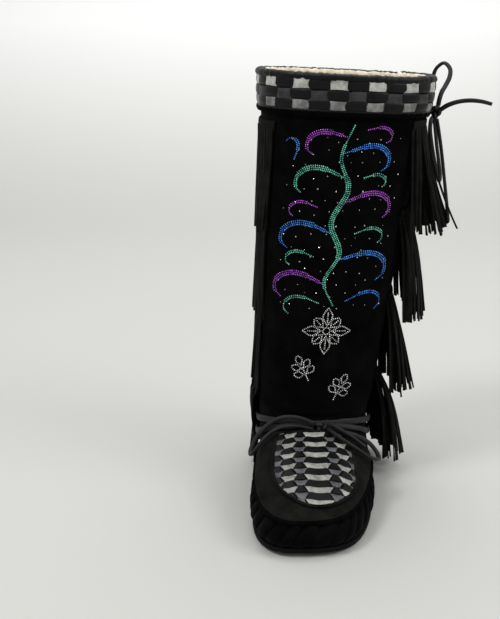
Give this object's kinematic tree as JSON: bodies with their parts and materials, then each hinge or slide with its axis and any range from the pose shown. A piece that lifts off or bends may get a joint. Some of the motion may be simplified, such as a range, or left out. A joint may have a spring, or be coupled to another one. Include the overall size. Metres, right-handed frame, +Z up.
{
  "type": "mukluk boot",
  "caption": "Tall left mukluk boot with a moccasin foot, fringed shaft, woven collar band and vamp, plain front panel, ankle lace and collar drawstring.",
  "frame": {"origin": "on the floor under the middle of the heel, 38 mm forward of the sole's back", "axes": "+Z up, the toe towards -Y, the outer side of the left foot towards +X"},
  "size_m": [0.226, 0.2833, 0.3982],
  "materials": {
    "suede": "black napped suede",
    "rubber": "black matte rubber",
    "felt": "cream felt",
    "woven_strips": "silver grey and black leather strips",
    "cloth": "black wool cloth with glass seed beads"
  },
  "bodies": {
    "root": {"upper": "suede", "outsole": "rubber", "insole": "felt", "apron": "suede", "apron_welt": "suede", "vamp_weave": "woven_strips", "front_panel": "cloth", "collar_band": "woven_strips", "collar_binding": "suede", "drawstring_casing": "suede", "fringe_tier_1": "suede", "fringe_tier_2": "suede", "fringe_tier_3": "suede", "fringe_tier_4": "suede", "ankle_lace": "suede", "ankle_knot": "suede", "ankle_loop_inner": "suede", "ankle_loop_outer": "suede", "ankle_end": "suede", "drawstring_knot": "suede", "drawstring_loop_up": "suede", "drawstring_loop_down": "suede", "drawstring_end_out": "suede", "drawstring_end_down": "suede"}
  },
  "joints": []
}
